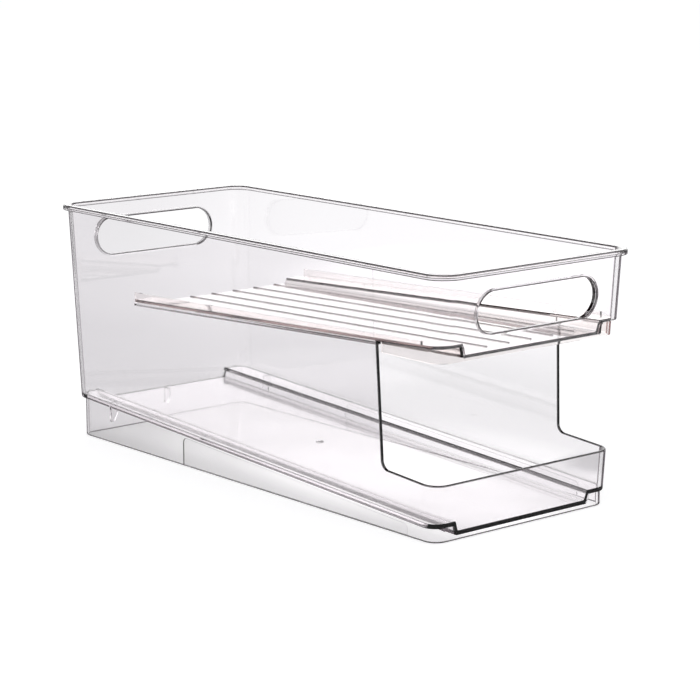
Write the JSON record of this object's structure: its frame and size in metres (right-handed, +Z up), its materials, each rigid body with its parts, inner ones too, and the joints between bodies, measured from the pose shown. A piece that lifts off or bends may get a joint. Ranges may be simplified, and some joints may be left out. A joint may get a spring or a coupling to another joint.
{
  "type": "refrigerator can organizer",
  "caption": "Clear moulded two-tier bin: cans roll back on a sloping shelf, drop behind it and roll forward to a low front lip.",
  "frame": {"origin": "centre of the foot, on the surface that the bin stands on", "axes": "+Z up, -Y towards the front window, +X to the right of someone who faces the rear"},
  "size_m": [0.146, 0.356, 0.146],
  "materials": {
    "clear_plastic": "clear, as moulded, polished"
  },
  "bodies": {
    "bin": {"bin_body": "clear_plastic"},
    "shelf": {"upper_shelf": "clear_plastic"}
  },
  "joints": [
    {"name": "shelf_lift", "type": "slide", "parent": "bin", "child": "shelf", "axis": [0, 0, 1], "range_m": [0, 0.06]}
  ]
}
